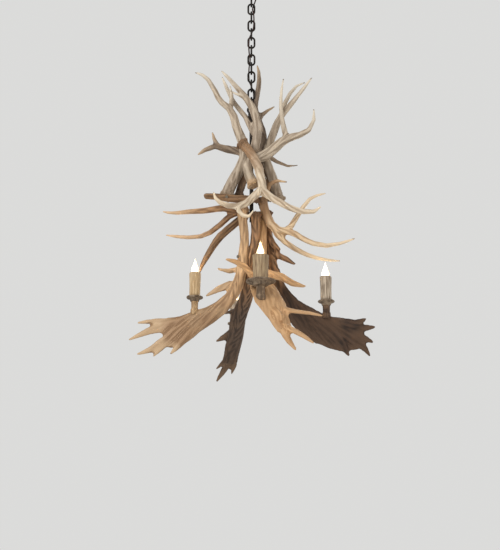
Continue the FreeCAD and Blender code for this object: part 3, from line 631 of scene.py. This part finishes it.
class Skin:
    # a quad mesh as arrays, with its neighbours, for smoothing and for what runs along the antler
    def __init__(self, mesh):
        self.mesh = mesh
        self.count = len(mesh.vertices)
        self.points = np.empty(self.count * 3)
        mesh.vertices.foreach_get("co", self.points)
        self.points = self.points.reshape(-1, 3)
        corners = np.empty(len(mesh.loops), np.int64)
        mesh.loops.foreach_get("vertex_index", corners)
        corners = corners.reshape(-1, 4)
        steps = [(0, 1), (1, 2), (2, 3), (3, 0), (0, 2), (1, 3)]
        pairs = np.concatenate([corners[:, list(step)] for step in steps])
        pairs = np.unique(np.concatenate([pairs, pairs[:, ::-1]]), axis=0)
        self.here, self.there = pairs[:, 0], pairs[:, 1]
        self.first = np.searchsorted(self.here, np.arange(self.count))
        self.number = np.bincount(self.here, minlength=self.count)

    def mean(self, values, weights=None):
        if weights is None:
            return np.add.reduceat(values[self.there], self.first) / (
                self.number if values.ndim == 1 else self.number[:, None])
        return np.add.reduceat(values[self.there] * weights, self.first)

    def soften(self, rounds, values):
        for _ in range(rounds):
            values = 0.5 * values + 0.5 * self.mean(values)
        return values

    def smooth(self, rounds):
        # each pull inwards is followed by a push outwards, so that thin tines keep their size
        for _ in range(rounds):
            for pull in (0.55, -0.57):
                self.points += pull * (self.mean(self.points) - self.points)

    def distances(self, start):
        # how far each point is from the burr along the surface, by the shortest run of edges
        run = np.linalg.norm(self.points[self.here] - self.points[self.there], axis=1)
        unreached, mostRounds = 9.0, 900
        far = np.full(self.count, unreached)
        fromStart = np.linalg.norm(self.points - start, axis=1)
        far[fromStart < antlerLook["burrPatch"]] = 0
        far[np.argmin(fromStart)] = 0
        for _ in range(mostRounds):
            nearer = np.minimum(far, np.minimum.reduceat(far[self.there] + run, self.first))
            if np.allclose(nearer, far, atol=1e-6):
                break
            far = nearer
        return far

    def flow(self, far):
        # how well each edge lies along the antler, from its burr to its tips
        way = self.points[self.there] - self.points[self.here]
        length = np.linalg.norm(way, axis=1)
        way /= length[:, None]
        slope = (far[self.there] - far[self.here]) / length
        lead = np.add.reduceat(way * slope[:, None], self.first)
        lead = self.soften(6, lead)
        lead /= np.linalg.norm(lead, axis=1)[:, None] + 1e-9
        return np.abs(np.einsum("ij,ij->i", way, lead[self.here])) ** antlerLook["flowPower"] + 1e-7

    def streaks(self, along, rng, width, length):
        # noise drawn out along the antler; what varies slowly is taken off, so that it stays even
        weights = along / np.add.reduceat(along, self.first)[self.here]
        values = self.soften(width, rng.normal(size=self.count))
        for _ in range(length):
            values = 0.3 * values + 0.7 * self.mean(values, weights)
        values -= self.soften(30, values)
        return values / values.std()

    def normals(self):
        self.mesh.vertices.foreach_set("co", self.points.ravel())
        self.mesh.update()
        out = np.empty(self.count * 3)
        self.mesh.vertex_normals.foreach_get("vector", out)
        return out.reshape(-1, 3)

    def thickness(self, out):
        # rays go inwards from just under the surface, as far as the thickest beam
        under, thickest = 0.0003, antlerLook["thickest"]
        tree = BVHTree.FromPolygons([tuple(p) for p in self.points],
                                    [tuple(face.vertices) for face in self.mesh.polygons])
        depth = np.empty(self.count)
        for k in range(self.count):
            inward = Vector(-out[k])
            run = tree.ray_cast(Vector(self.points[k]) + inward * under, inward, thickest)[3]
            depth[k] = thickest if run is None else run
        return self.soften(14, depth)

    def keep(self, name, values):
        layer = self.mesh.attributes.new(name, "FLOAT", "POINT")
        layer.data.foreach_set("value", values.astype(np.float32))


def webbed(node):
    # forks get rounded webs: the form is swelled, joined up where it now meets itself, and drawn back
    skin = Skin(remeshed(node, nodes[node].data.copy(), antlerLook["coarseVoxel"]))
    skin.smooth(antlerLook["smoothing"])
    skin.points += skin.normals() * antlerLook["web"]
    skin.normals()
    skin = Skin(remeshed(node, skin.mesh, antlerLook["voxel"]))
    skin.smooth(8)
    inward = skin.soften(4, skin.normals())
    inward /= np.linalg.norm(inward, axis=1)[:, None]
    skin.points -= inward * antlerLook["web"]
    skin.smooth(10)
    return skin


def dressedAntler(node, burr, toneName, slot, grooves, pearling, seed):
    rng = np.random.default_rng(seed)
    skin = webbed(node)
    out = skin.normals()
    thick = skin.thickness(out)
    far = skin.soften(8, skin.distances(np.array(burr) + (0, 0, eyeTop)))
    along = skin.flow(far)
    coarse = skin.streaks(along, rng, 1, antlerLook["streakLengths"][0])
    fine = skin.streaks(along, rng, 0, antlerLook["streakLengths"][1])
    grain = np.tanh(0.4 * coarse + 0.5 * fine)
    thin, full = antlerLook["tipThickness"]
    tip = np.clip((full - thick) / (full - thin), 0, 1) * np.clip(far / far.max() * 2 - 0.3, 0, 1)
    nearBurr = np.exp(-(far / antlerLook["burrReach"]) ** 2)
    lumps = skin.soften(4, rng.normal(size=skin.count))
    lumps /= lumps.std()
    depth = antlerLook["grooveDepth"] * grooves * (1 - 0.8 * tip)
    depth *= np.clip(thick / antlerLook["fullGroove"], 0.15, 1)
    rise = antlerLook["swell"] * thick * (1 - tip) + depth * grain
    lean, stout = antlerLook["fullerThickness"]
    rise += antlerLook["fullerTines"] * np.clip((stout - thick) / (stout - lean), 0, 1)
    rise += antlerLook["burrLumps"] * nearBurr * np.tanh(lumps)
    skin.points = np.clip(skin.points + out * rise[:, None], *cadBounds)
    skin.normals()
    skin.keep("grain", 0.5 + 0.5 * grain)
    skin.keep("tip", tip)
    skin.keep("far", far)
    skin.keep("burr", nearBurr)
    furrowed = pearling * np.exp(-(far / antlerLook["pearlReach"]) ** 2)
    skin.keep("pearl", np.clip(nearBurr * 1.3 + furrowed, 0, 1))
    smoothShaded(skin.mesh)
    piece = loosePiece(node + "_bare", skin.mesh)
    pearls.put(piece, {"Seed": seed, "Material": antlerSkins[toneName]})
    return newPiece(node + "_skin", baked(piece), antlerSkins[toneName], "chandelier", [node])


for number, (node, look) in enumerate(antlers.items()):
    dressed = dressedAntler(node, *look, seed=antlerLook["firstSeed"] + number)
    print(node, "has", len(dressed.data.polygons), "faces")
print("antlers made")


# --- candles ---

candle = {"sleeveHeight": 0.079, "saucerHeight": 0.017, "wall": 0.005, "lip": 0.0015, "collar": 0.008,
          "tenon": 0.012, "glassLength": 0.068, "glassRadius": 0.013, "neck": 0.0055, "firstSeed": 60}
# the glow in each bulb, as shares of the glass, and how high it starts
glow = {"width": 0.55, "length": 0.72, "lift": 0.012}

# middle, palm's top, sleeve's rim (from the eye's top), sleeve, saucer and stem diameters, tone
candles = {
    "left": (-0.180, -0.006, -0.711, -0.584, 0.038, 0.055, 0.023, "cream"),
    "front": (0.027, -0.183, -0.711, -0.580, 0.050, 0.092, 0.028, "tan"),
    "right": (0.236, -0.014, -0.724, -0.599, 0.039, 0.055, 0.024, "grey"),
    "back": (-0.056, 0.292, -0.755, -0.600, 0.040, 0.056, 0.024, "grey"),
}


def waver(seed, share, waves):
    # a few sine waves round the axis, as hand-cut horn has
    rng = np.random.default_rng(seed)
    parts = [(n, rng.uniform(0.4, 1) / math.sqrt(n), rng.uniform(0, 6.28)) for n in waves]
    total = sum(size for _, size, _ in parts)
    return lambda angle: share * sum(size * math.sin(n * angle + turn) for n, size, turn in parts) / total


def sleeveMesh(name, middle, diameter, seed):
    outer, height, lip = diameter / 2, candle["sleeveHeight"], candle["lip"]
    foot = outer * 0.94
    inner = foot - candle["wall"]
    steps = [k / 14 for k in range(15)]
    side = [(foot + (outer - foot) * max(0, s - 0.4) / 0.6, s * (height - lip)) for s in steps]
    profile = [(inner, 0.0)] + side + [(outer - lip, height), (inner + 0.001, height),
                                       (inner, height - 0.001), (inner, 0.0)]
    sawn = 0.0011
    flutes = waver(seed, 0.030, (3, 5, 9, 14, 19))
    lean = waver(seed + 1, 0.02, (2, 3))
    rim = waver(seed + 2, sawn, (2, 3, 7, 11))

    def wobble(angle, radius, up):
        if radius < inner + 0.0005:
            return radius, up
        high = up / height
        out = radius * (1 + flutes(angle) + lean(angle + 1.5 * high)) - 0.0006
        return out, up + (rim(angle) - sawn if high > 0.9 else 0)

    return spunMesh(name, profile, middle, 96, wobble)


def saucerMesh(name, middle, diameter, seed):
    rim, hub, top = diameter / 2, diameter / 2 * 0.55, candle["saucerHeight"]
    profile = [(0, 0), (hub * 0.8, 0), (hub * 0.95, 0.002), (hub * 1.05, top - 0.0085),
               (rim * 0.86, top - 0.0066), (rim * 0.97, top - 0.0055), (rim, top - 0.0035),
               (rim * 0.985, top - 0.0012), (rim * 0.93, top - 0.0002), (rim * 0.84, top - 0.0012),
               (rim * 0.62, top - 0.0012), (rim * 0.5, top), (0, top)]
    edge, warp = waver(seed, 0.035, (3, 5, 8, 13, 21)), waver(seed + 1, 0.0008, (2, 3, 5))

    def wobble(angle, radius, up):
        outward = max(0, radius / rim - 0.6) / 0.4
        return radius * (1 + edge(angle) * outward) - 0.0012 * outward, up + warp(angle) * outward

    return spunMesh(name, profile, middle, 96, wobble)


def stemMesh(name, middle, diameter, height, seed):
    radius, collar, tenon = diameter / 2, candle["collar"], candle["tenon"]
    foot, neck = radius + 0.0015, collar + 0.004
    profile = [(0, -tenon), (foot * 0.97, -tenon), (foot, -0.004), (foot, collar - 0.004),
               (foot * 0.97, collar - 0.0018), (radius * 0.96, collar), (radius * 0.94, neck)]
    steps = [k / 6 for k in range(1, 7)]
    profile += [(radius * (0.94 + 0.06 * s * s), neck + (height - neck) * s) for s in steps]
    profile.append((0, height))
    rough = waver(seed, 0.035, (2, 3, 5, 9, 14))
    return spunMesh(name, profile, middle, 72, lambda angle, r, up: (r * (0.98 + rough(angle)), up))


def flameProfile(radius, length, neck):
    heights = (0, 0.05, 0.12, 0.2, 0.28, 0.36, 0.45, 0.55, 0.65, 0.75, 0.84, 0.91, 0.96, 0.985)
    shares = (neck / radius, 0.5, 0.68, 0.84, 0.95, 1.0, 0.96, 0.82, 0.63, 0.42, 0.26, 0.16, 0.11, 0.07)
    return [(0, 0)] + [(radius * s, length * h) for s, h in zip(shares, heights)] + [(0, length)]


holderPlastic = holderMaterial("holderPlastic")
capBrass = brassMaterial("capBrass")
for number, (side, (x, y, seat, rim, sleeve, saucer, stem, tone)) in enumerate(candles.items()):
    saucerTop = eyeTop + rim - candle["sleeveHeight"]
    saucerLow = saucerTop - candle["saucerHeight"]
    seed = candle["firstSeed"] + 5 * number
    newPiece("grained_sleeve_" + side, sleeveMesh("sleeve", (x, y, saucerTop), sleeve, seed),
             sleeveSkins[tone], "chandelier", ["sleeve_" + side])
    newPiece("burr_saucer_" + side, saucerMesh("saucer", (x, y, saucerLow), saucer, seed + 2),
             saucerSkin, "chandelier", ["saucer_" + side])
    newPiece("turned_stem_" + side,
             stemMesh("stem", (x, y, eyeTop + seat), stem, saucerLow - eyeTop - seat, seed + 3),
             stemSkins[tone], "chandelier", ["stem_" + side])
    low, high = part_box("bulb_glass_" + side)
    bulb = "bulb_" + side
    outline = flameProfile(candle["glassRadius"], candle["glassLength"], candle["neck"])
    newPiece("clear_bulb_" + side, spunMesh("bulb", outline, (x, y, low[2]), 48),
             clearGlass, bulb, ["bulb_glass_" + side])
    core = [(r * glow["width"], glow["lift"] + h * glow["length"]) for r, h in outline]
    newPiece("flame_glow_" + side, spunMesh("glow", core, (x, y, low[2]), 32), glowing, bulb)
    paint(nodes["lampholder_" + side].data, holderPlastic)
    paint(nodes["bulb_base_" + side].data, capBrass)
print("candles made")


# --- room and light ---

room = {"reach": 12, "floor": -2.9, "glow": 0.52, "backdrop": (0.86, 0.86, 0.855)}

pale = Surface("paleFloor", roughness=0.9)
pale.colour(pale.blend(pale.noise(2, 2), (0.95, 0.95, 0.94), (0.97, 0.97, 0.96)))
floorMesh = bpy.data.meshes.new("floor")
corners = [(x * room["reach"], y * room["reach"], room["floor"])
           for x, y in ((-1, -1), (1, -1), (1, 1), (-1, 1))]
floorMesh.from_pydata(corners, [], [(0, 1, 2, 3)])
loosePiece("floor", floorMesh, pale.material)

world = bpy.data.worlds.new("room")
bpy.context.scene.world = world
world.use_nodes = True
air = world.node_tree
soft = air.nodes["Background"]
soft.inputs["Color"].default_value = (1.0, 0.97, 0.93, 1)
soft.inputs["Strength"].default_value = room["glow"]
seen = air.nodes.new("ShaderNodeBackground")
seen.inputs["Color"].default_value = toLinear(room["backdrop"])
# the backdrop's tone is only for what the camera sees, straight or through the glass
path = air.nodes.new("ShaderNodeLightPath")
which = air.nodes.new("ShaderNodeMath")
which.operation = "MAXIMUM"
air.links.new(path.outputs["Is Camera Ray"], which.inputs[0])
air.links.new(path.outputs["Is Transmission Ray"], which.inputs[1])
mixed = air.nodes.new("ShaderNodeMixShader")
air.links.new(which.outputs[0], mixed.inputs[0])
air.links.new(soft.outputs[0], mixed.inputs[1])
air.links.new(seen.outputs[0], mixed.inputs[2])
air.links.new(mixed.outputs[0], air.nodes["World Output"].inputs["Surface"])

# name: place, aim, width, watts, colour
lamps = {
    "key": ((-2.2, -2.6, 0.2), (0, 0, -0.9), 1.6, 78, (1.0, 0.97, 0.93)),
    "fill": ((2.8, -1.8, -1.3), (0, 0, -1.0), 2.2, 26, (1.0, 0.96, 0.91)),
    "back": ((1.2, 2.8, 0.1), (0, 0, -0.9), 1.6, 34, (1.0, 0.98, 0.96)),
}
for name, (place, aim, width, watts, colour) in lamps.items():
    data = bpy.data.lights.new(name, "AREA")
    data.size = width
    data.energy = watts
    data.color = colour
    lamp = bpy.data.objects.new(name, data)
    lamp.location = place
    lamp.rotation_euler = (Vector(aim) - Vector(place)).to_track_quat("-Z", "Y").to_euler()
    bpy.context.scene.collection.objects.link(lamp)

bpy.context.scene.view_settings.view_transform = "Standard"

print("scene ready")
